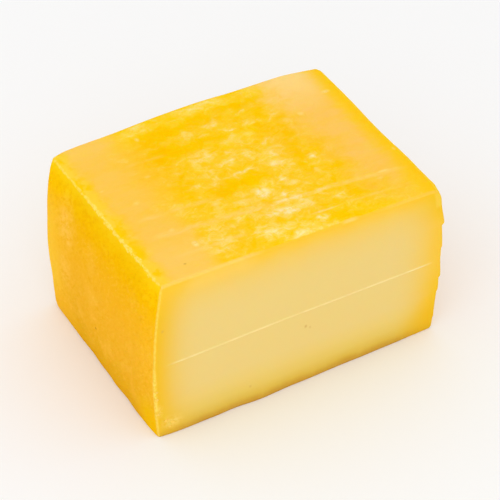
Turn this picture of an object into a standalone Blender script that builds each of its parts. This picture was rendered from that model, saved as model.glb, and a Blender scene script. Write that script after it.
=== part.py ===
# A rectangular piece of vacherin cheese, cut off the end of a larger loaf.
# The front (-Y) is the smooth cut face. The top, the back, both ends and the underside are rind,
# which bellies out a little because the loaf sagged while it ripened.
# Units are metres and +Z is up. The origin is the middle of the footprint, on the table.

import math

import bmesh
import bpy
from mathutils import Vector, noise

MM = 0.001

# Driving dimensions: the block before its sides belly out
LENGTH = 110 * MM  # along the cut face, X
DEPTH = 81 * MM  # from the cut face to the back rind, Y
HEIGHT = 66 * MM  # Z

# How far each face curves outwards
LEFT_BELLY = 2.4 * MM  # half way up the left end
LEFT_FOOT_BOW = 1.0 * MM  # bottom left edge, seen from above
RIGHT_BELLY = 2.1 * MM
RIGHT_FOOT_BOW = 0.5 * MM
BACK_BELLY = 1.5 * MM
BACK_TOP_BOW = 1.2 * MM
BACK_FOOT_BOW = 1.5 * MM
FRONT_BELLY = 0.2 * MM
FRONT_FOOT_BOW = 0.7 * MM  # the cut face spreads where it stands
TOP_CROWN_FRONT = 0.5 * MM
TOP_CROWN_BACK = 1.1 * MM

# Edge radii, as far as each rounding reaches across the faces that it joins
LEFT_RADIUS = 1.0 * MM
RIGHT_RADIUS = 1.8 * MM
FRONT_RADIUS = 0.8 * MM
BACK_RADIUS = 3.2 * MM
TOP_RADIUS = 1.2 * MM
FOOT_RADIUS = 0.7 * MM

# Corners of the block that stand off the true box, as (right, back, up) shares of it
CORNER_SHIFTS = {
    (0, 0, 1): Vector((1.0, 0.0, 0.0)) * MM,
    (1, 0, 1): Vector((0.0, -1.0, -1.0)) * MM,
    (0, 1, 1): Vector((0.5, 0.5, 1.0)) * MM,
    (1, 1, 1): Vector((-0.5, 1.0, 1.5)) * MM,
    (0, 0, 0): Vector((-2.0, -0.5, 0.0)) * MM,
    (1, 0, 0): Vector((1.0, 0.5, 0.0)) * MM,
    (0, 1, 0): Vector((-1.0, 0.5, 0.0)) * MM,
    (1, 1, 0): Vector((1.0, 0.5, 0.0)) * MM,
}

# The wire's mark across the cut face: a fine ridge that climbs a little over its left half
MARK_LEFT_HEIGHT = 31.4 * MM
MARK_CLIMB = 1.2 * MM
MARK_PROUD = 0.22 * MM
MARK_HALF_WIDTH = 0.5 * MM
MARK_END_GAP = 4.0 * MM  # bare rind band at each end of it
MARK_REACH = 14 * MM  # rows of the mesh this near the mark follow its climb

# Torn bits on the right edge of the cut face, as (height of the step, how far the rind above it stands out)
RAGGED_STEPS = (
    (48.5 * MM, 1.0 * MM),
    (37.5 * MM, 0.35 * MM),
    (23.5 * MM, 0.75 * MM),
    (17.0 * MM, 0.4 * MM),
    (4.5 * MM, 0.3 * MM),
)
RAGGED_RISE = 10 * MM  # a bit stands out gradually over this height above its step
RAGGED_LIP = 0.8 * MM  # and ends within this height at the step
RAGGED_DEPTH = 6 * MM  # how far back along the right end it goes

# Low swells and dimples of the rind
WOBBLE = 0.35 * MM
WOBBLE_SIZE = 19 * MM

# Mesh density
PITCH = 6.2 * MM
ARC_STEPS = 2  # divisions from the middle of a rounded edge to where it runs out

RIND_COLOUR = (0.93, 0.50, 0.03, 1.0)
PASTE_COLOUR = (0.88, 0.64, 0.21, 1.0)


def arch(t):
    """0 at both ends of 0..1 and 1 in the middle, as a parabola."""
    return 4 * t * (1 - t)


def broad_arch(t):
    """Like arch, but nearly level over its middle half."""
    return 1 - (2 * t - 1) ** 4


def ease(t):
    """0 to 1 as t goes from 0 to 1, level at both ends."""
    t = min(max(t, 0.0), 1.0)
    return t * t * (3 - 2 * t)


def mix(a, b, t):
    return a + (b - a) * t


def mark_height(along):
    """Height of the wire's mark at a share of the block's length."""
    return MARK_LEFT_HEIGHT + MARK_CLIMB * ease(2 * along)


MARK_MIDDLE = mark_height(0.5)


def stations(length, start_radius, end_radius, dense=()):
    """Places along one side of the block where it is divided, closely over each rounded edge."""
    angles = [math.pi / 4 * i / ARC_STEPS for i in range(ARC_STEPS + 1)]
    near = [start_radius * (1 - math.tan(a)) for a in angles]
    far = [length - end_radius * (1 - math.tan(a)) for a in angles]
    first, last = max(near), min(far)
    count = round((last - first) / PITCH)
    even = [mix(first, last, i / count) for i in range(1, count)]
    clear = [s for s in even if all(abs(s - d) > 0.3 * PITCH for d in dense)]
    return sorted(s for s in near + far + clear + list(dense) if 0 < s < length)


def divided_block():
    """The plain block, cut by planes into a grid that is fine at its edges and at the mark."""
    bm = bmesh.new()
    bmesh.ops.create_cube(bm, size=1.0)
    bmesh.ops.translate(bm, verts=bm.verts, vec=(0.5, 0.5, 0.5))
    bmesh.ops.scale(bm, verts=bm.verts, vec=(LENGTH, DEPTH, HEIGHT))
    mark_rows = [MARK_MIDDLE + MARK_HALF_WIDTH * k for k in (-2, -1, 0, 1, 2)]
    step_rows = [h + d for h, _ in RAGGED_STEPS for d in (0, RAGGED_LIP)]
    cuts = (
        (Vector((1, 0, 0)), stations(LENGTH, LEFT_RADIUS, RIGHT_RADIUS)),
        (Vector((0, 1, 0)), stations(DEPTH, FRONT_RADIUS, BACK_RADIUS)),
        (Vector((0, 0, 1)), stations(HEIGHT, FOOT_RADIUS, TOP_RADIUS, mark_rows + step_rows)),
    )
    for normal, places in cuts:
        for place in places:
            whole = bm.verts[:] + bm.edges[:] + bm.faces[:]
            bmesh.ops.bisect_plane(bm, geom=whole, dist=1e-7, plane_co=normal * place, plane_no=normal)
    return bm


def round_edges(point):
    """Moves a point of the sharp block onto the block with rounded edges and corners."""
    sides = (
        (LENGTH, LEFT_RADIUS, RIGHT_RADIUS),
        (DEPTH, FRONT_RADIUS, BACK_RADIUS),
        (HEIGHT, FOOT_RADIUS, TOP_RADIUS),
    )
    inner = Vector()
    radii = Vector()
    for axis, (size, low, high) in enumerate(sides):
        inner[axis] = min(max(point[axis], low), size - high)
        radii[axis] = low if point[axis] < size / 2 else high
    out = Vector((point - inner)[i] / radii[i] for i in range(3))
    out.normalize()
    return inner + Vector(out[i] * radii[i] for i in range(3))


def corner_shift(u, v, w):
    """The corners' shifts, blended through the block."""
    total = Vector()
    for (right, back, up), shift in CORNER_SHIFTS.items():
        share = (u if right else 1 - u) * (v if back else 1 - v) * (w if up else 1 - w)
        total += shift * share
    return total


def belly(u, v, w):
    """How far the sides curve out at a point of the block."""
    left = LEFT_BELLY * arch(w) + LEFT_FOOT_BOW * arch(v) * (1 - w)
    right = RIGHT_BELLY * arch(w) * (0.7 + 0.6 * w) + RIGHT_FOOT_BOW * arch(v) * (1 - w)
    front = FRONT_BELLY * arch(w) * arch(u) + FRONT_FOOT_BOW * arch(u) * (1 - w) ** 2
    back = BACK_BELLY * arch(w) + mix(BACK_FOOT_BOW, BACK_TOP_BOW, w) * broad_arch(u)
    top = mix(TOP_CROWN_FRONT, TOP_CROWN_BACK, v) * broad_arch(u)
    return Vector((
        right * u * u - left * (1 - u) ** 2,
        back * v * v - front * (1 - v) ** 2,
        top * w * w,
    ))


def mark(point, u, v, w):
    """Lets the rows near the mark climb with it, and raises the mark itself."""
    near = ease(1 - abs(point.z - MARK_MIDDLE) / MARK_REACH) * (1 - v) ** 2
    shift = Vector((0, 0, (mark_height(u) - MARK_MIDDLE) * near))
    if v == 0:
        across = 1 - abs(point.z - MARK_MIDDLE) / MARK_HALF_WIDTH
        ends = min(point.x, LENGTH - point.x) / MARK_END_GAP
        shift.y -= MARK_PROUD * max(across, 0.0) * ease(ends - 1)
    return shift


def ragged_edge(point, u):
    """How far the torn rind on the right edge of the cut face stands out."""
    reach = ease(1 - point.y / RAGGED_DEPTH) * ease((u - 0.9) / 0.1)
    proud = 0.0
    for step, depth in RAGGED_STEPS:
        above = point.z - step
        if above > 0:
            proud = max(proud, depth * ease(above / RAGGED_LIP) * (1 - ease(above / RAGGED_RISE)))
    return Vector((proud * reach, 0, 0))


def wobble(point, u, v, w):
    """Uneven swells of the rind: none on the underside, and only faint ones on the cut face."""
    swell = WOBBLE * noise.noise(point / WOBBLE_SIZE)
    away = Vector((2 * u - 1, 2 * v - 1, 2 * w - 1))
    rind = Vector((abs(away.x) ** 3, 0 if v < 0.5 else away.y ** 3, max(away.z, 0.0) ** 3))
    side = Vector((math.copysign(1, away.x), 1, 1))
    return Vector(swell * rind[i] * side[i] for i in range(3))


def formed(point):
    """Where a point of the plain block lies on the cheese."""
    u, v, w = point.x / LENGTH, point.y / DEPTH, point.z / HEIGHT
    moved = round_edges(point) + corner_shift(u, v, w) + belly(u, v, w)
    moved += mark(point, u, v, w) + ragged_edge(point, u) + wobble(point, u, v, w)
    if w == 0:
        moved.z = 0.0
    return moved


def centre_on_table(bm):
    """Sets the block's origin at the middle of its footprint, with its underside at zero."""
    xs = [v.co.x for v in bm.verts]
    ys = [v.co.y for v in bm.verts]
    middle = Vector(((min(xs) + max(xs)) / 2, (min(ys) + max(ys)) / 2, min(v.co.z for v in bm.verts)))
    bmesh.ops.translate(bm, verts=bm.verts, vec=-middle)


def material(name, colour, roughness):
    made = bpy.data.materials.new(name)
    made.use_nodes = True
    shader = made.node_tree.nodes["Principled BSDF"]
    shader.inputs["Base Color"].default_value = colour
    shader.inputs["Roughness"].default_value = roughness
    shader.inputs["Metallic"].default_value = 0.0
    return made


def cheese():
    """The whole piece: one solid, rind and cut face together."""
    bm = divided_block()
    cut = bm.faces.layers.int.new("cut_face")
    for face in bm.faces:
        face[cut] = int(face.calc_center_median().y < 1e-6)
    for vert in bm.verts:
        vert.co = formed(vert.co.copy())
    centre_on_table(bm)
    for face in bm.faces:
        face.material_index = face[cut]
    mesh = bpy.data.meshes.new("cheese")
    bm.to_mesh(mesh)
    bm.free()
    mesh.materials.append(material("rind", RIND_COLOUR, 0.45))
    mesh.materials.append(material("paste", PASTE_COLOUR, 0.5))
    mesh.shade_smooth()
    mesh.set_sharp_from_angle(angle=math.radians(35))
    block = bpy.data.objects.new("cheese", mesh)
    bpy.context.scene.collection.objects.link(block)
    return block


def clear_scene():
    for obj in list(bpy.data.objects):
        bpy.data.objects.remove(obj, do_unlink=True)


def main():
    clear_scene()
    cheese()


main()
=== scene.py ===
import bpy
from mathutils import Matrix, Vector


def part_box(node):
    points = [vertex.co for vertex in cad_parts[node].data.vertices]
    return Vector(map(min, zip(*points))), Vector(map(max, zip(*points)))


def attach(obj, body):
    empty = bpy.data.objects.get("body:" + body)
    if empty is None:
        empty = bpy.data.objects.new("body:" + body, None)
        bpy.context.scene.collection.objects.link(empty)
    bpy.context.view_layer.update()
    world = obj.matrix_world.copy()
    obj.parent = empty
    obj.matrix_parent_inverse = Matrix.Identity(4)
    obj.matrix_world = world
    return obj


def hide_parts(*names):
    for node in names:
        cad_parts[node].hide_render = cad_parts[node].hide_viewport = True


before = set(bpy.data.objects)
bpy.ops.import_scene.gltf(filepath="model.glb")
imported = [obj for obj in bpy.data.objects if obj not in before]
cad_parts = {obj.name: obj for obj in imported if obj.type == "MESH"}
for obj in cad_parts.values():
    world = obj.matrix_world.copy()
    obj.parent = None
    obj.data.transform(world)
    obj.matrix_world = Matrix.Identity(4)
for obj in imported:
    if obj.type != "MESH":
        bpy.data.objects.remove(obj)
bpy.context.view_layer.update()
print("frame loaded: nodes", sorted(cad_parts))

import math

import bmesh
import bpy
from mathutils import Matrix, Vector, noise

# The piece is worked in metres, and its patterns in millimetres
mm = 0.001
lengthAxis, depthAxis, heightAxis = 0, 1, 2


# Small sums and helpers

def arch(t):
    return 4 * t * (1 - t)  # 0 at both ends of 0..1, 1 in the middle


def broadArch(t):
    return 1 - (2 * t - 1) ** 4


def ease(t):
    t = min(max(t, 0.0), 1.0)
    return t * t * (3 - 2 * t)


def mix(a, b, t):
    return a + (b - a) * t


def channel(c):
    return c / 12.92 if c <= 0.04045 else ((c + 0.055) / 1.055) ** 2.4


def screen(red, green, blue):
    # a colour as a screen shows it, 0 to 255, turned into what the shader wants
    return tuple(channel(c / 255) for c in (red, green, blue)) + (1.0,)


def deselectAll():
    if bpy.context.mode != "OBJECT":
        bpy.ops.object.mode_set(mode="OBJECT")
    bpy.ops.object.select_all(action="DESELECT")


def selectOnly(piece):
    deselectAll()
    piece.select_set(True)
    bpy.context.view_layer.objects.active = piece


# The plain block, how finely it is cut up, and how its faces bow and waver
block = {
    "size": Vector((110, 81, 66)) * mm,
    "lowRadii": Vector((1.0, 0.8, 0.7)) * mm,  # left, front and foot edges
    "highRadii": Vector((1.8, 3.2, 1.2)) * mm,  # right, back and top edges
    "pitch": 0.9 * mm,
    "edgeSteps": 3,
    "leftBelly": 2.4 * mm,
    "leftFootBow": 1.0 * mm,
    "rightBelly": 2.1 * mm,
    "rightFootBow": 0.5 * mm,
    "backBelly": 1.5 * mm,
    "backTopBow": 1.2 * mm,
    "backFootBow": 1.5 * mm,
    "frontBelly": 0.2 * mm,
    "frontFootBow": 0.7 * mm,
    "crownFront": 0.5 * mm,
    "crownBack": 1.1 * mm,
    "swell": 0.35 * mm,
    "swellSize": 19 * mm,
    "footWaver": 0.45 * mm,
    "footWaverSize": 11 * mm,
    "footWaverHeight": 9 * mm,
}
plainSize = block["size"] / mm  # in millimetres, as the patterns need it

# How far each corner stands off the true box, in millimetres: (right, back, up) names the corner
cornerShifts = {
    (0, 0, 1): (1.0, 0.0, 0.0),
    (1, 0, 1): (0.0, -1.0, -1.0),
    (0, 1, 1): (0.5, 0.5, 1.0),
    (1, 1, 1): (-0.5, 1.0, 1.5),
    (0, 0, 0): (-2.0, -0.5, 0.0),
    (1, 0, 0): (1.0, 0.5, 0.0),
    (0, 1, 0): (-1.0, 0.5, 0.0),
    (1, 1, 0): (1.0, 0.5, 0.0),
}

# Small local nudges, in millimetres: where on the plain block, how far they reach, and the shift
nudges = (
    ((22, 81, 66), 28, (0.0, 0.0, -0.7)),
    ((108, 81, 66), 14, (1.1, 0.0, -1.1)),
    ((110, 0, 66), 5, (-0.7, 0.2, -0.5)),
    ((0, 81, 66), 6, (0.4, -0.3, -0.4)),
    ((0, 74, 4), 15, (-0.8, 0.3, 0.0)),
    ((0, 8, 2), 14, (-0.7, -0.2, 0.0)),
    ((15, 0, 2), 15, (0.0, -0.7, 0.0)),
    ((42, 0, 2), 20, (0.0, -0.5, 0.0)),
)

# The wire's mark across the cut face
wireMark = {
    "leftHeight": 31.4 * mm,
    "climb": 1.2 * mm,
    "proud": 0.22 * mm,
    "halfWidth": 0.5 * mm,
    "endGap": 4 * mm,
    "reach": 14 * mm,
}

# Torn rind down the right edge of the cut face: each step's height, and how far the rind above it
# stands out, in millimetres
tornEdge = {
    "steps": ((48.5, 1.0), (37.5, 0.35), (23.5, 0.75), (17.0, 0.4), (4.5, 0.3)),
    "rise": 10 * mm,
    "lip": 0.8 * mm,
    "depth": 6 * mm,
}

# Low relief: where it goes, the size of its lumps and its depth
relief = (
    ("rindDimples", "rind", 6.5 * mm, 0.10 * mm),
    ("rindGrain", "rind", 2.0 * mm, 0.10 * mm),
    ("pasteWaver", "paste", 9.0 * mm, 0.08 * mm),
    ("ridgeCrumble", "ridge", 1.6 * mm, 0.75 * mm),
)


def markHeight(along):
    return wireMark["leftHeight"] + wireMark["climb"] * ease(2 * along)


markMiddle = markHeight(0.5)


# The block: a cube cut into a fine grid, then shaped point by point

def cutAcross(axis, places):
    normal = Vector((0, 0, 0))
    normal[axis] = 1
    for place in places:
        bpy.ops.mesh.select_all(action="SELECT")
        bpy.ops.mesh.bisect(plane_co=normal * place, plane_no=normal, threshold=1e-7)


def edgePlaces(axis):
    size, low, high = block["size"][axis], block["lowRadii"][axis], block["highRadii"][axis]
    angles = [math.pi / 4 * step / block["edgeSteps"] for step in range(block["edgeSteps"])]
    return [low * (1 - math.tan(a)) for a in angles] + [size - high * (1 - math.tan(a)) for a in angles]


def divideSpans(piece, axis):
    # wide gaps between the cuts across one axis are subdivided to the pitch
    mesh = bmesh.from_edit_mesh(piece.data)
    places = sorted({round(v.co[axis], 6) for v in mesh.verts})
    for low, high in zip(places, places[1:]):
        cuts = round((high - low) / block["pitch"]) - 1
        if cuts < 1:
            continue
        bpy.ops.mesh.select_all(action="DESELECT")
        mesh = bmesh.from_edit_mesh(piece.data)
        for edge in mesh.edges:
            ends = sorted(v.co[axis] for v in edge.verts)
            edge.select_set(abs(ends[0] - low) < 2e-6 and abs(ends[1] - high) < 2e-6)
        bmesh.update_edit_mesh(piece.data)
        bpy.ops.mesh.subdivide(number_cuts=cuts)


def griddedCube():
    deselectAll()
    bpy.ops.mesh.primitive_cube_add(size=1, location=(0.5, 0.5, 0.5))
    piece = bpy.context.object
    piece.name = "vacherinBlock"
    bpy.ops.object.transform_apply(location=True, rotation=False, scale=False)
    piece.scale = block["size"]
    bpy.ops.object.transform_apply(location=False, rotation=False, scale=True)
    bpy.ops.object.mode_set(mode="EDIT")
    bpy.context.tool_settings.mesh_select_mode = (False, True, False)
    markRows = [markMiddle + wireMark["halfWidth"] * k / 2 for k in (-4, -2, -1, 0, 1, 2, 4)]
    lipRows = (0, tornEdge["lip"] / 2, tornEdge["lip"])
    tornRows = [step * mm + row for step, _ in tornEdge["steps"] for row in lipRows]
    cutAcross(lengthAxis, edgePlaces(lengthAxis))
    cutAcross(depthAxis, edgePlaces(depthAxis))
    cutAcross(heightAxis, edgePlaces(heightAxis) + markRows + tornRows)
    for axis in (lengthAxis, depthAxis, heightAxis):
        divideSpans(piece, axis)
    bpy.ops.object.mode_set(mode="OBJECT")
    return piece


def roundEdges(point):
    inner = Vector()
    radii = Vector()
    for axis in range(3):
        size, low, high = block["size"][axis], block["lowRadii"][axis], block["highRadii"][axis]
        inner[axis] = min(max(point[axis], low), size - high)
        radii[axis] = low if point[axis] < size / 2 else high
    out = Vector((point - inner)[i] / radii[i] for i in range(3))
    out.normalize()
    return inner + Vector(out[i] * radii[i] for i in range(3))


def cornerShift(u, v, w):
    total = Vector()
    for (right, back, up), shift in cornerShifts.items():
        total += Vector(shift) * ((u if right else 1 - u) * (v if back else 1 - v) * (w if up else 1 - w))
    return total * mm


def belly(u, v, w):
    left = block["leftBelly"] * arch(w) + block["leftFootBow"] * arch(v) * (1 - w)
    right = block["rightBelly"] * arch(w) * (0.7 + 0.6 * w)  # fuller near the top
    right += block["rightFootBow"] * arch(v) * (1 - w)
    front = block["frontBelly"] * arch(w) * arch(u) + block["frontFootBow"] * arch(u) * (1 - w) ** 2
    back = block["backBelly"] * arch(w) + mix(block["backFootBow"], block["backTopBow"], w) * broadArch(u)
    top = mix(block["crownFront"], block["crownBack"], v) * broadArch(u)
    return Vector((right * u * u - left * (1 - u) ** 2, back * v * v - front * (1 - v) ** 2, top * w * w))


def wireRidge(point, u, v):
    away = abs(point.z - markMiddle)
    near = ease(1 - away / wireMark["reach"]) * (1 - v) ** 2
    shift = Vector((0, 0, (markHeight(u) - markMiddle) * near))
    if v == 0:
        ends = min(point.x, block["size"].x - point.x) / wireMark["endGap"]
        shift.y -= wireMark["proud"] * max(1 - away / wireMark["halfWidth"], 0.0) * ease(ends - 1)
    return shift


def tornRind(point, u):
    reach = ease(1 - point.y / tornEdge["depth"]) * ease((u - 0.9) / 0.1)
    proud = 0.0
    for step, depth in tornEdge["steps"]:
        above = point.z - step * mm
        if above > 0:
            fading = 1 - ease(above / tornEdge["rise"])
            proud = max(proud, depth * mm * ease(above / tornEdge["lip"]) * fading)
    return Vector((proud * reach, 0, 0))


def swell(point, u, v, w):
    height = block["swell"] * noise.noise(point / block["swellSize"])
    away = Vector((2 * u - 1, 2 * v - 1, 2 * w - 1))
    share = Vector((away.x ** 3, 0 if v < 0.5 else away.y ** 3, max(away.z, 0.0) ** 3))
    return share * height


def footWaver(point, u, v):
    # the foot's outline wanders in and out a little, and stays flat on the ground
    wander = noise.noise(point / block["footWaverSize"]) * block["footWaver"]
    wander *= ease(1 - point.z / block["footWaverHeight"])
    return Vector(((2 * u - 1) ** 3 * wander, (2 * v - 1) ** 3 * wander, 0))


def nudge(point):
    total = Vector()
    for centre, reach, shift in nudges:
        away = (point / mm - Vector(centre)).length / reach
        total += Vector(shift) * mm * ease(1 - away)
    return total


def shapedPoint(point):
    u, v, w = (point[i] / block["size"][i] for i in range(3))
    moved = roundEdges(point) + cornerShift(u, v, w) + belly(u, v, w)
    moved += wireRidge(point, u, v) + tornRind(point, u) + swell(point, u, v, w)
    moved += footWaver(point, u, v) + nudge(point)
    if w == 0:
        moved.z = 0.0
    return moved


def keepPlaces(piece):
    # each point remembers where it was on the plain block, in millimetres, for the patterns to follow
    flat = [c / mm for v in piece.data.vertices for c in v.co]
    place = piece.data.attributes.new("place", "FLOAT_VECTOR", "POINT")
    place.data.foreach_set("vector", flat)


def strongest(point, spots):
    # the strongest of several oval patches at a point: (centre, radii, strength)
    best = 0.0
    for centre, radii, strength in spots:
        away = Vector((point[i] - centre[i]) / radii[i] for i in range(3)).length
        best = max(best, strength * ease(1 - away))
    return best


# How the outlines of the patches waver, and how far down those of the top go, in millimetres
patchEdges = {
    "longWaves": 4.2,
    "longSwing": 1.8,
    "shortWaves": 1.9,
    "shortSwing": 0.9,
    "thickness": 9,
    "topBand": 2,  # below this the patches of the sides take over
    "seed": 2,  # vector noise starts from the clock unless it is seeded
}


def wavered(point):
    long = noise.noise_vector(point / patchEdges["longWaves"]) * patchEdges["longSwing"]
    short = noise.noise_vector(point / patchEdges["shortWaves"]) * patchEdges["shortSwing"]
    return point + long + short


def onTop(ovals, thickness):
    # flat ovals as patches with a centre on the top, radii and a strength
    return tuple(((x, y, plainSize.z), (a, b, thickness), strength) for x, y, a, b, strength in ovals)


def keepPatches(piece):
    # how far each point lies in a pale or a deep patch of the top, or in a pale one of the sides
    pale = onTop(palePatches, patchEdges["thickness"])
    deep = onTop(deepPatches, patchEdges["thickness"])
    noise.seed_set(patchEdges["seed"])
    marks = piece.data.attributes.new("patches", "FLOAT_VECTOR", "POINT")
    for item, mark in zip(piece.data.attributes["place"].data, marks.data):
        point = Vector(item.vector)
        wavy = wavered(point)
        if point.z > plainSize.z - patchEdges["topBand"]:
            mark.vector = (strongest(wavy, pale), strongest(wavy, deep), 0)
        else:
            mark.vector = (0, 0, strongest(wavy, sidePatches))


def blockCorner(piece):
    # where the block's front left foot corner goes, to sit in the frame as the CAD node does
    low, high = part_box("cheese")
    xs = [v.co.x for v in piece.data.vertices]
    ys = [v.co.y for v in piece.data.vertices]
    return Vector(((low.x + high.x - min(xs) - max(xs)) / 2, (low.y + high.y - min(ys) - max(ys)) / 2, 0))


# Where the relief starts and ends, in millimetres: above the foot, at the cut face and along the ridge
reliefEdges = {
    "footGap": 0.3,
    "footRise": 2,
    "cutFace": 1.5,
    "topRidge": 2.5,
    "frontRidge": 2,
    "frontRidgeShare": 0.6,
}


def reliefGroups(piece):
    # the ridge lies along the top left edge and, weaker, down the front left one
    edges = reliefEdges
    rind = piece.vertex_groups.new(name="rind")
    paste = piece.vertex_groups.new(name="paste")
    ridge = piece.vertex_groups.new(name="ridge")
    for index, item in enumerate(piece.data.attributes["place"].data):
        x, y, z = item.vector
        lifted = ease((z - edges["footGap"]) / edges["footRise"])
        behind = ease(y / edges["cutFace"])
        rind.add([index], behind * lifted, "REPLACE")
        paste.add([index], (1 - behind) * lifted, "REPLACE")
        topLeft = ease(1 - max(x, 0) / edges["topRidge"]) * ease(1 - (plainSize.z - z) / edges["topRidge"])
        frontLeft = ease(1 - x / edges["frontRidge"]) * ease(1 - y / edges["frontRidge"])
        frontLeft *= edges["frontRidgeShare"] * lifted
        ridge.add([index], max(topLeft, frontLeft), "REPLACE")


def roughen(piece, name, group, size, depth):
    selectOnly(piece)
    texture = bpy.data.textures.new(name, "CLOUDS")
    texture.noise_scale = size
    texture.noise_depth = 2
    bpy.ops.object.modifier_add(type="DISPLACE")
    modifier = piece.modifiers[-1]
    modifier.name = name
    modifier.texture = texture
    modifier.texture_coords = "LOCAL"
    modifier.vertex_group = group
    modifier.mid_level = 0.5
    modifier.strength = depth
    bpy.ops.object.modifier_apply(modifier=name)


def makeBlock():
    piece = griddedCube()
    keepPlaces(piece)
    keepPatches(piece)
    for vertex in piece.data.vertices:
        vertex.co = shapedPoint(vertex.co.copy())
    corner = blockCorner(piece)
    piece.data.transform(Matrix.Translation(corner))
    reliefGroups(piece)
    for name, group, size, depth in relief:
        roughen(piece, name, group, size, depth)
    bpy.ops.object.shade_smooth()
    print("block shaped:", len(piece.data.polygons), "faces")
    return piece, corner


# Crumbs that stick to the block: place on the plain block and size, in millimetres
crumbs = {
    "places": (
        (5.8, 0, 5.2, 0.85), (3.4, 0, 6.6, 0.7), (4.6, 0, 3.6, 0.6), (0.9, 0, 10.6, 0.7),
        (0.8, 0, 17.6, 0.75), (0.9, 0, 21.0, 0.55), (20.4, 14.2, 66, 0.9), (103.8, 64.6, 66, 0.8),
    ),
    "sunk": 0.62,  # share of its thickness that lies in the surface
    "flatness": 0.42,
    "unevenness": 0.12,
    "lowColours": (screen(250, 204, 76), screen(253, 214, 104)),
    "topColours": (screen(253, 208, 96), screen(254, 222, 132)),
}


def makeCrumb(index, x, y, z, size, corner):
    deselectAll()
    bpy.ops.mesh.primitive_ico_sphere_add(subdivisions=2, radius=size * mm)
    crumb = bpy.context.object
    crumb.name = "crumb" + str(index)
    bpy.ops.object.mode_set(mode="EDIT")
    bpy.ops.mesh.select_all(action="SELECT")
    squeeze = (1, crumbs["flatness"], 0.8) if y == 0 else (1.2, 0.8, crumbs["flatness"])
    bpy.ops.transform.resize(value=squeeze)
    bpy.ops.transform.vertex_random(offset=size * mm * crumbs["unevenness"], seed=index + 1)
    bpy.ops.object.mode_set(mode="OBJECT")
    outwards = Vector((0, -1, 0)) if y == 0 else Vector((0, 0, 1))
    lift = size * mm * crumbs["flatness"] * (1 - 2 * crumbs["sunk"])
    crumb.location = corner + shapedPoint(Vector((x, y, z)) * mm) + outwards * lift
    bpy.ops.object.transform_apply(location=True, rotation=False, scale=False)
    return crumb


def makeCrumbs(corner):
    made = [makeCrumb(index, *spot, corner) for index, spot in enumerate(crumbs["places"])]
    deselectAll()
    for crumb in made:
        crumb.select_set(True)
    bpy.context.view_layer.objects.active = made[0]
    bpy.ops.object.join()
    piece = bpy.context.object
    piece.name = "crumbs"
    selectOnly(piece)
    bpy.ops.object.shade_smooth()
    print("crumbs placed:", len(made))
    return piece


# Shader sums: arithmetic on a wire adds Math nodes

class Wire:
    def __init__(self, tree, socket=None):
        self.tree = tree
        self.socket = socket

    def make(self, kind, settings, inputs, output=0):
        node = self.tree.nodes.new(kind)
        for name, value in settings.items():
            if name == "stops":
                self.fillRamp(node.color_ramp, value)
            else:
                setattr(node, name, value)
        for name, value in inputs.items():
            if isinstance(value, Wire):
                self.tree.links.new(value.socket, node.inputs[name])
            else:
                node.inputs[name].default_value = value
        return Wire(self.tree, node.outputs[output]) if node.outputs else self

    def fillRamp(self, ramp, stops):
        while len(ramp.elements) < len(stops):
            ramp.elements.new(1.0)
        for element, (position, colour) in zip(ramp.elements, stops):
            element.position = position
            element.color = colour

    def maths(self, operation, *values):
        return self.make("ShaderNodeMath", {"operation": operation}, dict(enumerate(values)))

    def __add__(self, other):
        return self.maths("ADD", self, other)

    def __sub__(self, other):
        return self.maths("SUBTRACT", self, other)

    def __rsub__(self, other):
        return self.maths("SUBTRACT", other, self)

    def __mul__(self, other):
        return self.maths("MULTIPLY", self, other)

    def __truediv__(self, other):
        return self.maths("DIVIDE", self, other)

    def __pow__(self, other):
        return self.maths("POWER", self, other)

    def vector(self, operation, other, output=0):
        return self.make("ShaderNodeVectorMath", {"operation": operation}, {0: self, 1: other}, output)

    __radd__ = __add__
    __rmul__ = __mul__


def fade(value, start, end):
    # 0 at start, 1 at end, smooth between them
    limits = {"Value": value, "From Min": start, "From Max": end, "To Min": 0.0, "To Max": 1.0}
    return value.make("ShaderNodeMapRange", {"interpolation_type": "SMOOTHSTEP"}, limits)


def tint(mask, under, over):
    # one colour over another where the mask is 1
    return mask.make("ShaderNodeMix", {"data_type": "RGBA"}, {0: mask, 6: under, 7: over}, 2)


def larger(a, b):
    return a.maths("MAXIMUM", a, b)


def apart(value, middle):
    return value.maths("ABSOLUTE", value - middle)


def shifted(mask, colour, factors):
    # the colour with its channels scaled where the mask is 1
    settings = {"data_type": "RGBA", "blend_type": "MULTIPLY"}
    return mask.make("ShaderNodeMix", settings, {0: mask, 6: colour, 7: factors}, 2)


def cloud(place, size, detail=2.0, roughness=0.5, stretch=None, swirl=0.0):
    if stretch:
        place = place.vector("MULTIPLY", stretch)
    inputs = {
        "Vector": place,
        "Scale": 1 / size,
        "Detail": detail,
        "Roughness": roughness,
        "Distortion": swirl,
    }
    return place.make("ShaderNodeTexNoise", {}, inputs)


def dots(place, spots):
    # small oval spots: (centre, radii, strength)
    total = None
    for centre, radii, strength in spots:
        offset = place.vector("SUBTRACT", centre).vector("DIVIDE", radii)
        away = offset.make("ShaderNodeVectorMath", {"operation": "LENGTH"}, {0: offset}, 1)
        spot = fade(away, 1.0, 0.0) * strength
        total = spot if total is None else larger(total, spot)
    return total


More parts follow.
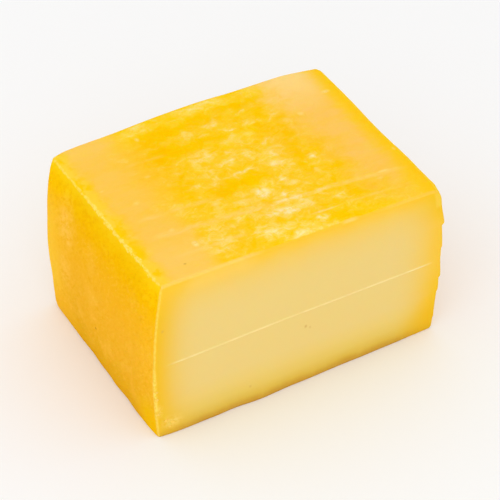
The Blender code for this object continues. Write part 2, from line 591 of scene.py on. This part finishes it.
# Colours as they look in even white light, among them painted highlights, sheen and shade; first those of
# the top from deep to pale
topColours = (
    (0.00, screen(254, 196, 0)),
    (0.22, screen(254, 199, 8)),
    (0.45, screen(254, 203, 44)),
    (0.66, screen(254, 211, 86)),
    (0.84, screen(254, 219, 124)),
    (1.00, screen(255, 229, 160)),
)
rindColours = {
    # the peach and cream colours paint a sheen over the left and right ends of the top
    "sheenPeach": screen(254, 199, 83),
    "rightSheen": screen(254, 197, 93),
    "sheenCream": screen(255, 214, 130),
    "scrape": screen(255, 209, 110),
    "leftMargin": screen(254, 203, 4),
    "paleMargin": screen(254, 210, 60),
    "rightMargin": screen(254, 199, 24),
    # edge and frontEdge are the colours of painted highlights along the rounded edges
    "edge": screen(255, 223, 104),
    "frontEdge": screen(254, 212, 112),
    "sidePeach": screen(253, 192, 70),
    "sideFold": screen(238, 166, 4),
    "crease": screen(236, 160, 2),
    "footCorner": screen(245, 190, 2),
    "paintedBackLight": screen(253, 198, 54),
    "fleck": screen(255, 228, 142),
    "speck": screen(176, 112, 30),
}

# What each channel is multiplied by where a colour turns lemon or orange, or darker in mid-side as painted
# shade
lemonShift = (1.0, 1.06, 0.9, 1.0)
orangeShift = (1.0, 0.95, 1.0, 1.0)
paintedShadeShift = (0.955, 0.93, 1.0, 1.0)

# Up the sides, from the foot to the top; the darker stops near the foot are partly painted shade near the
# ground
sideColours = (
    (0.00, screen(224, 163, 18)),
    (0.08, screen(233, 173, 25)),
    (0.20, screen(243, 180, 35)),
    (0.45, screen(249, 183, 39)),
    (0.68, screen(250, 184, 25)),
    (0.82, screen(251, 188, 0)),
    (0.93, screen(253, 198, 4)),
    (1.00, screen(254, 208, 20)),
)
pasteColours = {
    "left": screen(241, 191, 42),
    "right": screen(248, 198, 58),
    "rightEnds": screen(245, 194, 30),
    "rightFoot": screen(234, 180, 24),
    "top": screen(251, 200, 56),
    "mark": screen(250, 225, 154),
    "smear": screen(253, 219, 120),
    "speck": screen(214, 166, 84),
}

# Up the cut face, from the foot to where the plain paste starts: darker and browner at the foot, partly
# rind colour soaked in and partly painted shade where the block meets the ground
footSoakAndShade = (
    (0.00, screen(202, 150, 56)),
    (0.10, screen(211, 165, 60)),
    (0.20, screen(223, 187, 77)),
    (0.40, screen(232, 200, 99)),
    (0.70, screen(236, 206, 118)),
    (1.00, screen(236, 207, 128)),
)

# Patches on the top: x from the left, y from the cut face, half length and half width in millimetres,
# and strength
palePatches = (
    (47, 65.5, 5.0, 4.5, 0.55), (58, 67, 6.5, 3.0, 0.65), (71, 68, 4.5, 1.8, 0.9),
    (66, 71, 1.8, 4.0, 0.5), (61, 62, 3.0, 1.8, 0.9), (53, 62.5, 5.0, 2.4, 0.75),
    (70, 61, 6.0, 1.8, 0.5), (80, 60.5, 5.0, 2.0, 0.65), (83, 55, 3.0, 3.5, 0.45),
    (59, 56.5, 5.0, 3.0, 0.5), (46, 52.5, 7.5, 6.0, 0.9), (54.5, 51, 2.6, 1.8, 0.95),
    (52, 46.5, 5.0, 5.0, 0.65), (60, 46, 3.4, 6.5, 0.85), (69, 49, 4.5, 3.0, 0.75),
    (67, 43, 5.5, 4.5, 0.55), (36, 40, 3.5, 4.5, 0.6), (43, 42.5, 5.0, 3.5, 0.4),
    (56, 38.8, 7.0, 2.0, 1.0), (67, 38, 6.5, 3.0, 0.65), (80, 35.5, 3.0, 3.2, 0.95),
    (70, 33, 5.5, 3.5, 0.55), (64, 30, 3.8, 2.5, 1.15), (54.5, 26, 6.4, 4.4, 1.15),
    (59.5, 23, 3.0, 4.0, 1.0), (47, 27, 5.5, 4.5, 0.4), (38, 28.5, 3.0, 2.6, 0.55),
    (35, 23.5, 3.6, 2.4, 0.4), (78, 28, 4.5, 7.0, 0.4), (40.5, 16.5, 3.4, 3.6, 0.55),
    (47, 15.5, 3.6, 3.2, 0.55), (54, 15, 7.0, 4.0, 0.9), (58.5, 14.2, 4.6, 3.3, 1.4),
    (52, 9.5, 5.5, 3.0, 0.55), (67, 14, 4.5, 3.0, 0.35), (48, 4.5, 3.6, 3.0, 1.1),
    (53, 2.5, 6.0, 3.4, 0.75), (59.5, 6.6, 3.6, 2.2, 0.8), (65, 6.4, 3.2, 3.6, 1.15),
    (78, 13, 5.0, 4.0, 0.35), (84, 4, 6.0, 3.0, 0.3), (30, 14, 15, 16, 0.5), (60, 20, 19, 26, 0.42),
    (58, 3, 21, 12, 0.5), (61, 47, 17, 17, 0.4), (57, 64, 16, 7.0, 0.3), (33, 24, 12, 8.0, 0.3),
    (33, 77, 15, 5.5, 0.6), (60, 77, 15, 6.0, 0.65), (79, 77, 9.0, 5.5, 0.45), (48, 7.5, 13, 10, 0.55),
)
deepPatches = (
    (45, 70.5, 13, 4.6, 0.8), (35, 59, 19, 6.0, 1.0), (72, 73, 6.5, 4.6, 0.9), (74, 64, 5.0, 4.0, 0.5),
    (79, 51, 8.0, 8.0, 0.55), (54, 33.5, 14, 3.6, 1.0), (31, 36.5, 8.0, 3.6, 0.7),
    (87, 33, 5.0, 5.0, 0.8), (31, 24.5, 4.5, 4.0, 0.6), (55, 20.8, 5.5, 1.8, 0.7),
    (87, 11.5, 8.0, 3.6, 0.95), (84, 21, 5.5, 3.0, 0.6), (72, 4.5, 6.0, 3.0, 0.5),
    (29, 4.5, 9.0, 4.0, 0.2), (53, 71.5, 10, 2.6, 0.3), (76, 26, 3.6, 4.5, 0.6), (27, 5, 10, 7.0, 0.4),
    (49, 32, 9.0, 2.6, 0.5), (59, 59.5, 14, 1.6, 0.6), (67, 65, 5.0, 2.0, 0.4), (75, 40, 3.0, 7.0, 0.5),
    (69, 43, 5.0, 4.0, 0.3),
)

# Small pale flecks outside the patches, given in the same way
topFlecks = (
    (20.5, 13.6, 1.5, 2.2, 1.0), (13.4, 41.8, 1.9, 1.4, 0.3), (17, 23.6, 1.7, 1.3, 0.3),
    (104, 64.8, 2.4, 1.4, 0.55), (97.5, 17.4, 3.4, 0.9, 0.5), (89.4, 57.6, 2.0, 1.6, 0.4),
    (23.5, 52, 1.8, 1.2, 0.25), (30.5, 72.4, 1.2, 1.6, 0.5), (36.8, 28.4, 2.2, 1.8, 0.5),
    (6.2, 53.4, 1.4, 0.8, 0.25), (94.6, 14.6, 1.8, 0.8, 0.25), (107.8, 26.2, 1.0, 1.4, 0.3),
)

# Scrapes along the top, in millimetres: x from, x to, y at the start, fall over the length, half width,
# then strength and how bright
scrapes = (
    (8, 38, 33.0, 1.8, 1.1, 0.8, 0.0),
    (9, 55, 22.6, 3.2, 1.5, 1.0, 0.0),
    (53, 79, 19.7, 1.6, 1.0, 1.0, 0.8),
    (76, 108, 18.2, 2.2, 1.0, 0.95, 0.1),
    (10, 40, 10.9, 0.9, 0.9, 0.6, 0.1),
    (62, 77, 8.7, 0.5, 0.5, 0.8, 0.7),
    (76, 104, 8.3, 0.6, 0.7, 0.4, 0.0),
    (18, 36, 60.5, 0.6, 0.9, 0.35, 0.0),
)

# Paler patches on the sides: centre, radii and strength, in millimetres
sidePatches = (
    ((0, 65, 47), (9, 10, 15), 1.1),
    ((0, 66, 27), (9, 7, 11), 0.8),
    ((0, 44, 30), (9, 8, 6), 0.45),
    ((0, 19, 18), (9, 6, 6), 0.35),
    ((0, 56, 15), (9, 7, 4), 0.4),
    ((28, 81, 38), (14, 9, 12), 0.8),
    ((74, 81, 45), (16, 9, 9), 0.6),
    ((52, 81, 18), (10, 9, 7), 0.5),
    ((110, 30, 40), (9, 11, 9), 0.7),
    ((110, 60, 30), (9, 9, 12), 0.6),
    ((60, 40, 0), (22, 16, 9), 0.6),
    ((24, 20, 0), (12, 9, 9), 0.4),
)

# Dark specks in the rind, given in the same way
rindSpecks = (
    ((0, 42.3, 17.6), (1, 0.8, 0.7), 0.9),
    ((12.5, 6.5, plainSize.z), (0.8, 0.6, 1), 0.5),
)


def scrapedTop(x, y, place):
    wave = cloud(place, 12.0, 2.0) * 1.4 - 0.7
    broken = fade(cloud(place, 3.0, 3.0, 0.6, (0.4, 1.2, 1)), 0.35, 0.62) * 0.75 + 0.25
    soft, bright = None, None
    for start, end, height, fall, halfWidth, strength, brightness in scrapes:
        middle = (x - start) * (-fall / (end - start)) + height
        line = fade(apart(y + wave, middle), halfWidth * 1.5, 0.0)
        line = line * fade(x, start - 1, start + 6) * fade(x, end + 1, end - 6) * strength
        soft = line if soft is None else larger(soft, line)
        if brightness:
            shine = line * brightness
            bright = shine if bright is None else larger(bright, shine)
    return soft * broken, bright * broken


# How the top is mottled: sizes in millimetres, and shares of what the ramp of colours runs through
topLook = {
    "coarseSize": 8.0,
    "fineSize": 3.0,
    "hueSize": 13.0,
    "coarseShare": 1.15,
    "fineShare": 1.1,
    "fineShareInPale": 0.75,
    "backCalm": 0.25,  # how much of the fine mottling the back lacks
    "start": 0.35,
    "paleGain": 0.57,
    "deepLoss": 0.36,
    "brightGain": 0.65,
    "lemon": 0.8,
    "rightSheenCream": 0.85,
    "scrapes": 0.8,
    "leftMargin": 0.85,
    "rightMargin": 0.9,
}


# What goes with x, y and z in the sums below is a place on the plain block, in millimetres

def topColour(x, y, place, pale, deep):
    coarse = cloud(place, topLook["coarseSize"], 4.0, 0.6, (0.8, 1.1, 1), 0.4)
    fine = cloud(place, topLook["fineSize"], 4.0, 0.62, (0.85, 1.05, 1), 0.8)
    soft, bright = scrapedTop(x, y, place)
    calm = 1 - fade(y, 38, 60) * topLook["backCalm"]
    fineShare = pale * topLook["fineShareInPale"] + topLook["fineShare"]
    level = (coarse - 0.5) * topLook["coarseShare"] + (fine - 0.5) * fineShare * calm
    level = level + topLook["start"] + pale * topLook["paleGain"]
    level = level - deep * topLook["deepLoss"] + bright * topLook["brightGain"]
    colour = level.make("ShaderNodeValToRGB", {"stops": topColours}, {"Fac": level})
    drift = coarse * 14 - 7  # millimetres by which the borders of the areas wander
    backLemon = fade(y + drift * 0.5, plainSize.y - 11, plainSize.y - 5)
    frontLemon = fade(y + drift * 0.5, 13, 5) * fade(x, 36, 46)
    rightOrange = fade(apart(x + drift, 79), 15, 4) * fade(apart(y + drift, 49), 17, 6)
    leftOrange = fade(apart(x + drift, 26), 15, 6) * fade(apart(y + drift, 55), 18, 8)
    hue = cloud(place, topLook["hueSize"], 3.0, 0.6)
    lemon = larger(larger(backLemon, frontLemon), fade(hue, 0.52, 0.72) * fade(x, 30, 40))
    colour = shifted(lemon * topLook["lemon"], colour, lemonShift)
    orange = larger(larger(rightOrange, leftOrange), fade(hue, 0.48, 0.28))
    colour = shifted(orange, colour, orangeShift)
    streaks = cloud(place, 7.0, 4.0, 0.65, (0.5, 1.6, 1)) * 1.4 + 0.22
    far = fade(y, 18, 40) * (fade(y, 79, 66) * 0.7 + 0.3)
    # painted sheen: pale peach and cream veils over the left and right ends of the top, paler still where
    # the top rounds over at the back
    leftSheenZone = fade(x + drift * (far * 0.8 + 0.2), far * 6 + 26, far * -8 + 18)
    leftSheenZone = leftSheenZone * fade(x + drift * 0.5, 0, 8)
    colour = tint(leftSheenZone * streaks, colour, rindColours["sheenPeach"])
    leftSheenCream = leftSheenZone * (fade(y, 68, 76) * 0.15 + fade(y, 26, 8) * 0.2)
    colour = tint(leftSheenCream, colour, rindColours["sheenCream"])
    rightSheenZone = fade(x + drift * 1.4 + y * 0.06, 82, 98) * fade(x + drift * 0.6, 110, 98)
    rightSheen = rightSheenZone * streaks * (fade(y + drift * 2, 4, 24) * 0.7 + 0.3)
    colour = tint(rightSheen, colour, rindColours["rightSheen"])
    rightSheenCream = rightSheenZone * fade(y + drift * 0.6, 54, 76) * topLook["rightSheenCream"]
    colour = tint(rightSheenCream, colour, rindColours["sheenCream"])
    colour = tint(soft * topLook["scrapes"] * (1 - bright), colour, rindColours["scrape"])
    blots = fade(cloud(place, 5.0, 2.0, 0.5, (1, 0.8, 1)), 0.48, 0.6)
    margin = tint(blots, rindColours["paleMargin"], rindColours["leftMargin"])
    colour = tint(fade(x + drift * 0.5, 6, 1.5) * topLook["leftMargin"], colour, margin)
    rightMargin = fade(x + drift * 0.6, plainSize.x - 10, plainSize.x - 1) * topLook["rightMargin"]
    return tint(rightMargin, colour, rindColours["rightMargin"]), level


# How the sides are wrinkled and speckled: sizes and swings in millimetres, and the rest shares of 1
sideLook = {
    "wrinkleSize": 3.2,
    "gritSize": 1.7,
    "patchSize": 10.0,
    "wrinkleSwing": 14,  # how far each moves the colours up and down
    "gritSwing": 8,
    "patchSwing": 12,
    "backFootLift": 10,
    "quietMiddle": 0.5,
    "palePatches": 0.4,
    "paleGrit": 0.5,
    "deepGrit": 0.5,
    "deepFolds": 0.6,
    "paintedBackLight": 0.75,
    "crease": 0.25,
    "footCorner": 0.8,
}


def sideColour(x, y, z, place, patch):
    leaning = place.make("ShaderNodeCombineXYZ", {}, {0: x * 0.6 + z * 0.3, 1: (y - z) * 0.5, 2: y + z})
    wrinkle = cloud(leaning, sideLook["wrinkleSize"], 4.0, 0.66, swirl=0.6)
    grit = cloud(leaning, sideLook["gritSize"], 3.0, 0.62)
    patchy = cloud(place, sideLook["patchSize"], 4.0, 0.6)
    inside = fade(z, 0, 12) * fade(z, plainSize.z, plainSize.z - 8)
    backFoot = fade(y, 54, 76) * fade(z, 44, 2) * sideLook["backFootLift"]
    folded = (wrinkle - 0.5) * sideLook["wrinkleSwing"] * inside
    speckled = ((patchy - 0.5) * sideLook["patchSwing"] + (grit - 0.5) * sideLook["gritSwing"]) * inside
    height = (z + backFoot + folded + speckled) / plainSize.z
    colour = height.make("ShaderNodeValToRGB", {"stops": sideColours}, {"Fac": height})
    # painted shade: the middle of each side is darkened, less so near the foot
    middle = fade(y, 4, 16) * fade(y, 76, 54)
    quiet = 1 - middle * fade(z, 52, 42) * sideLook["quietMiddle"]
    colour = shifted(middle * (fade(z, 2, 14) * 0.6 + 0.4), colour, paintedShadeShift)
    bare = fade(z, 2, 12) * fade(z, plainSize.z - 6, plainSize.z - 22)
    worn = patch * (fade(wrinkle, 0.36, 0.6) * 0.75 + 0.25)
    pale = larger(worn, fade(patchy, 0.5, 0.75) * bare * sideLook["palePatches"])
    paleGrit = fade(grit, 0.5, 0.72) * quiet * (bare * sideLook["paleGrit"] + 0.015)
    colour = tint(pale + paleGrit, colour, rindColours["sidePeach"])
    deepGrit = fade(grit, 0.48, 0.3) * quiet * sideLook["deepGrit"] * inside
    colour = tint(deepGrit, colour, rindColours["sideFold"])
    deepFolds = fade(wrinkle, 0.46, 0.26) * sideLook["deepFolds"] * bare
    colour = tint(deepFolds, colour, rindColours["sideFold"])
    ragged = patchy * 12 - 6
    # painted light: the left side is paler where it curves away towards the back
    paintedBackLight = fade(y + ragged, 66, 77) * fade(x + ragged, 20, 3) * fade(z, 3, 16)
    paintedBackLight = paintedBackLight * fade(z + ragged, 58, 40) * sideLook["paintedBackLight"]
    colour = tint(paintedBackLight, colour, rindColours["paintedBackLight"])
    underEdge = fade(z, plainSize.z - 16, plainSize.z - 6) * fade(z, plainSize.z - 1, plainSize.z - 4)
    underEdge = underEdge * fade(y, 24, 50) * fade(y, 80, 70)
    crease = underEdge * fade(wrinkle, 0.5, 0.36) * sideLook["crease"]
    colour = tint(crease, colour, rindColours["crease"])
    footCorner = fade(y, 16, 3) * fade(z, 18, 6) * sideLook["footCorner"]
    return tint(footCorner, colour, rindColours["footCorner"]), wrinkle + grit * 0.5


# The cut face: how deep the rind's colour has gone in from each rim, in millimetres, with painted shade
# along the foot as well, and its marks
pasteLook = {
    "footReach": 18,
    "leftReach": 8.6,
    "topReach": 9.0,
    "rightReach": 10.2,
    "right": 0.95,
    "rightFoot": 0.5,
    "frontTint": 0.35,
    "mark": 0.95,
    "markEdges": (0.62, 0.1),
    "smears": (
        ((5.6, 0, 5.6), (5.5, 50, 4.0), 0.6),
        ((1.6, 0, 12), (1.6, 50, 4.5), 0.5),
    ),
    "specks": (
        ((56.5, 0, 25.5), (0.8, 50, 1.1), 0.8),
        ((58.2, 0, 24.4), (0.6, 50, 0.8), 0.5),
        ((35.2, 0, 7.8), (0.8, 50, 0.9), 0.5),
        ((2.6, 0, 47), (0.8, 50, 1.0), 0.45),
    ),
}


def soaked(depth, reach, power):
    # how much of the rind's colour has gone into the paste at a depth from its rim
    share = depth.maths("MAXIMUM", depth, 0.0) / reach
    return share.maths("EXPONENT", share ** power * -1)


def pasteColour(x, z, place):
    wave = cloud(place, 11.0, 2.0) * 3 - 1.5
    ragged = cloud(place, 7.0, 4.0, 0.6, (1, 1, 0.3)) * 3 - 1.5
    # darker and browner towards the foot: rind colour soaked in, and painted shade at the ground
    height = (z + ragged * fade(z, 9, 2)) / pasteLook["footReach"]
    colour = height.make("ShaderNodeValToRGB", {"stops": footSoakAndShade}, {"Fac": height})
    raised = fade(z, -4, 8) * 0.7 + 0.3
    left = soaked(x + wave * 0.5, pasteLook["leftReach"], 2.0) * raised
    colour = tint(left, colour, pasteColours["left"])
    top = soaked(plainSize.z - z + wave, pasteLook["topReach"], 1.5)
    colour = tint(top, colour, pasteColours["top"])
    nearEnds = larger(fade(z, 49, 58), fade(z, 34, 16))
    band = tint(nearEnds, pasteColours["right"], pasteColours["rightEnds"])
    right = soaked(plainSize.x - x + wave * 0.8, pasteLook["rightReach"], 2.0) * raised
    colour = tint(right * pasteLook["right"], colour, band)
    rightFoot = fade(x, plainSize.x - 18, plainSize.x - 3) * fade(z, 18, 4) * pasteLook["rightFoot"]
    colour = tint(rightFoot, colour, pasteColours["rightFoot"])
    frontTint = fade(x, 40, 30) * fade(x, 8, 14) * fade(z, 58, 63) * pasteLook["frontTint"]
    colour = tint(frontTint, colour, rindColours["frontEdge"])
    markLine = fade(apart(z, markMiddle / mm), *pasteLook["markEdges"])
    markLine = markLine * fade(x, 3, 11) * fade(x, plainSize.x - 3, plainSize.x - 8)
    markLine = markLine * (fade(cloud(place, 7.0, 2.0), 0.3, 0.55) * 0.5 + 0.5)
    colour = tint(markLine * pasteLook["mark"], colour, pasteColours["mark"])
    smears = dots(place, pasteLook["smears"]) * fade(cloud(place, 1.6, 3.0, 0.6), 0.35, 0.6)
    colour = tint(smears, colour, pasteColours["smear"])
    return tint(dots(place, pasteLook["specks"]), colour, pasteColours["speck"])


# The painted highlights along the edges: how strong each is
edgeHighlightLook = {
    "beads": 0.75,
    "flake": 0.3,
    "rightTop": 0.3,
    "frontRight": 0.5,
    "frontDash": 0.8,
}


def paleEdges(x, y, z, place):
    # painted highlights along the left edges, crumbly in the middle, and at the right a flake and a trace
    # of painted highlight
    beads = fade(cloud(place, 1.5, 3.0, 0.6), 0.4, 0.6)
    crumbly = fade(y, 64, 44) * fade(y, 1, 8) * 0.5 + 0.5
    width = (cloud(place, 3.0, 3.0, 0.6) * 2.8 - 1.0) * crumbly
    topLeft = fade(x + (plainSize.z - z) * 0.7, width + 0.5, width - 0.1)
    topLeft = topLeft * (beads * edgeHighlightLook["beads"] + (1 - edgeHighlightLook["beads"])) * (crumbly * 0.6 + 0.4)
    lowBeads = fade(z, 34, 26) * fade(z, 4, 12)
    frontLeft = fade(x + y, lowBeads * 0.5 + 0.9, 0.25) * (beads * (lowBeads * 0.4 + 0.3) + 0.3)
    flake = fade(plainSize.x - x, 3.4, 2.2) * fade(y, 1.5, 0.4) * fade(apart(z, 61.5), 4.4, 2.6)
    rightTop = fade((plainSize.x - x) + (plainSize.z - z), 1.8, 0.5) * beads
    atRight = larger(flake * edgeHighlightLook["flake"], rightTop * edgeHighlightLook["rightTop"])
    return larger(larger(topLeft, frontLeft), atRight)


def frontEdges(x, y, z, place):
    # a painted highlight along the top of the cut face, strongest at both ends and in one short dash
    broken = cloud(place, 3.0, 2.0) * 0.6 + 0.3
    line = fade(y + (plainSize.z - z), 1.3, 0.3)
    ends = larger(fade(x, 41, 32), fade(x, 82, 92) * edgeHighlightLook["frontRight"])
    dash = fade(apart(x, 73), 4.2, 0.8) * edgeHighlightLook["frontDash"]
    return larger(line * ends * broken, line * dash)


# The skin: how deep its bumps are, and how light goes into it
skin = {
    "cutEdge": (0.75, 0.15),  # where the cut face begins, from the rind inwards, in millimetres
    "topEdge": (0.9, 0.15),  # and the top face
    "grainBumps": 0.08,
    "lumpBumps": 0.14,
    "wrinkleBumps": 0.5,
    "mottleBumps": 0.26,
    "bumpStrength": 0.6,
    "roughness": 0.38,
    "roughnessSpread": 0.2,
    "softness": 0.25,
    "softnessRadius": (1.0, 0.4, 0.12),
    "softnessScale": 0.003,
    "specular": 0.001,
}


def cheeseMaterial():
    material = bpy.data.materials.new("rindAndPaste")
    material.use_nodes = True
    tree = material.node_tree
    tree.nodes.clear()
    place = Wire(tree).make("ShaderNodeAttribute", {"attribute_name": "place"}, {}, "Vector")
    marks = place.make("ShaderNodeAttribute", {"attribute_name": "patches"}, {}, "Vector")
    x, y, z = (place.make("ShaderNodeSeparateXYZ", {}, {0: place}, axis) for axis in "XYZ")
    pale, deep, sidePatch = (marks.make("ShaderNodeSeparateXYZ", {}, {0: marks}, axis) for axis in "XYZ")
    cutFace = fade(y, *skin["cutEdge"])
    topFace = fade(z, *(plainSize.z - away for away in skin["topEdge"]))
    top, level = topColour(x, y, place, pale, deep)
    side, wrinkle = sideColour(x, y, z, place, sidePatch)
    rind = tint(topFace, side, top)
    rind = tint(dots(place, onTop(topFlecks, 2)), rind, rindColours["fleck"])
    rind = tint(dots(place, rindSpecks), rind, rindColours["speck"])
    colour = tint(cutFace, rind, pasteColour(x, z, place))
    # painted highlights along the edges of the rind and the cut face
    colour = tint(paleEdges(x, y, z, place), colour, rindColours["edge"])
    colour = tint(frontEdges(x, y, z, place), colour, rindColours["frontEdge"])
    grain = cloud(place, 1.1, 4.0, 0.6) * skin["grainBumps"] + cloud(place, 3.2, 3.0) * skin["lumpBumps"]
    creases = wrinkle * skin["wrinkleBumps"] * (1 - topFace) + level * skin["mottleBumps"] * topFace
    height = (grain + creases) * (1 - cutFace * 0.9)
    bumps = {"Strength": skin["bumpStrength"], "Distance": mm, "Height": height}
    bump = height.make("ShaderNodeBump", {}, bumps)
    shader = {
        "Base Color": colour,
        "Roughness": cloud(place, 5.0, 3.0) * skin["roughnessSpread"] + skin["roughness"],
        "Normal": bump,
        "Subsurface Weight": skin["softness"],
        "Subsurface Radius": skin["softnessRadius"],
        "Subsurface Scale": skin["softnessScale"],
        "Specular IOR Level": skin["specular"],
    }
    surface = colour.make("ShaderNodeBsdfPrincipled", {}, shader)
    surface.make("ShaderNodeOutputMaterial", {}, {"Surface": surface})
    print("cheese material:", len(tree.nodes), "nodes")
    return material


def crumbMaterial():
    material = bpy.data.materials.new("crumbPaste")
    material.use_nodes = True
    tree = material.node_tree
    tree.nodes.clear()
    place = Wire(tree).make("ShaderNodeTexCoord", {}, {}, "Object")
    z = place.make("ShaderNodeSeparateXYZ", {}, {0: place}, "Z")
    grain = cloud(place, 0.4 * mm, 3.0)
    low = tint(grain, *crumbs["lowColours"])
    colour = tint(fade(z, 30 * mm, 50 * mm), low, tint(grain, *crumbs["topColours"]))
    bump = grain.make("ShaderNodeBump", {}, {"Strength": 0.4, "Distance": 0.2 * mm, "Height": grain})
    shader = {
        "Base Color": colour,
        "Roughness": grain * 0.2 + 0.45,
        "Normal": bump,
        "Specular IOR Level": 0.02,
    }
    surface = colour.make("ShaderNodeBsdfPrincipled", {}, shader)
    surface.make("ShaderNodeOutputMaterial", {}, {"Surface": surface})
    return material


# The studio, with its lamp and camera aimed by azimuth and elevation, in degrees
studio = {
    "floorColour": screen(249, 249, 249),
    "skyStrength": 0.95,
    "lampPower": 2.7,
    "lampSize": 1.2,
    "lampAzimuth": -38,
    "lampElevation": 35,
    "lampDistance": 1.3,
    "azimuth": -29.97,
    "elevation": 39.38,
    "distance": 783.4 * mm,
    "aimFromCorner": Vector((55.79, 37.13, 33)) * mm,
    "lens": 158.4,
}


def makeFloor():
    deselectAll()
    bpy.ops.mesh.primitive_plane_add(size=8, location=(0, 0, 0))
    floor = bpy.context.object
    floor.name = "studioFloor"
    material = bpy.data.materials.new("paleSweep")
    material.use_nodes = True
    shader = material.node_tree.nodes["Principled BSDF"]
    shader.inputs["Base Color"].default_value = studio["floorColour"]
    shader.inputs["Roughness"].default_value = 0.7
    shader.inputs["Specular IOR Level"].default_value = 0.05
    floor.data.materials.append(material)


def direction(azimuth, elevation):
    # from the middle of the scene towards something at these angles
    a, e = math.radians(azimuth), math.radians(elevation)
    return Vector((math.sin(a) * math.cos(e), -math.cos(a) * math.cos(e), math.sin(e)))


def makeLight():
    world = bpy.data.worlds.new("studioSky")
    bpy.context.scene.world = world
    world.use_nodes = True
    background = world.node_tree.nodes["Background"]
    background.inputs["Color"].default_value = (1, 1, 1, 1)
    background.inputs["Strength"].default_value = studio["skyStrength"]
    towards = direction(studio["lampAzimuth"], studio["lampElevation"])
    bpy.ops.object.light_add(type="AREA", location=towards * studio["lampDistance"])
    lamp = bpy.context.object
    lamp.name = "softbox"
    lamp.data.shape = "SQUARE"
    lamp.data.size = studio["lampSize"]
    lamp.data.energy = studio["lampPower"]
    lamp.rotation_euler = (-towards).to_track_quat("-Z", "Y").to_euler()
    bpy.context.scene.view_settings.view_transform = "Standard"


def makeCamera(corner):
    towards = direction(studio["azimuth"], studio["elevation"])
    target = corner + studio["aimFromCorner"]
    bpy.ops.object.camera_add(location=target + towards * studio["distance"])
    camera = bpy.context.object
    camera.rotation_euler = (-towards).to_track_quat("-Z", "Y").to_euler()
    camera.data.lens = studio["lens"]
    camera.data.sensor_width = 36
    camera.data.clip_start = 0.01
    bpy.context.scene.camera = camera


cheese, corner = makeBlock()
cheese.data.materials.append(cheeseMaterial())
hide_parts("cheese")
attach(cheese, "root")

loose = makeCrumbs(corner)
loose.data.materials.append(crumbMaterial())
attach(loose, "root")

makeFloor()
makeLight()
makeCamera(corner)
print("studio ready")
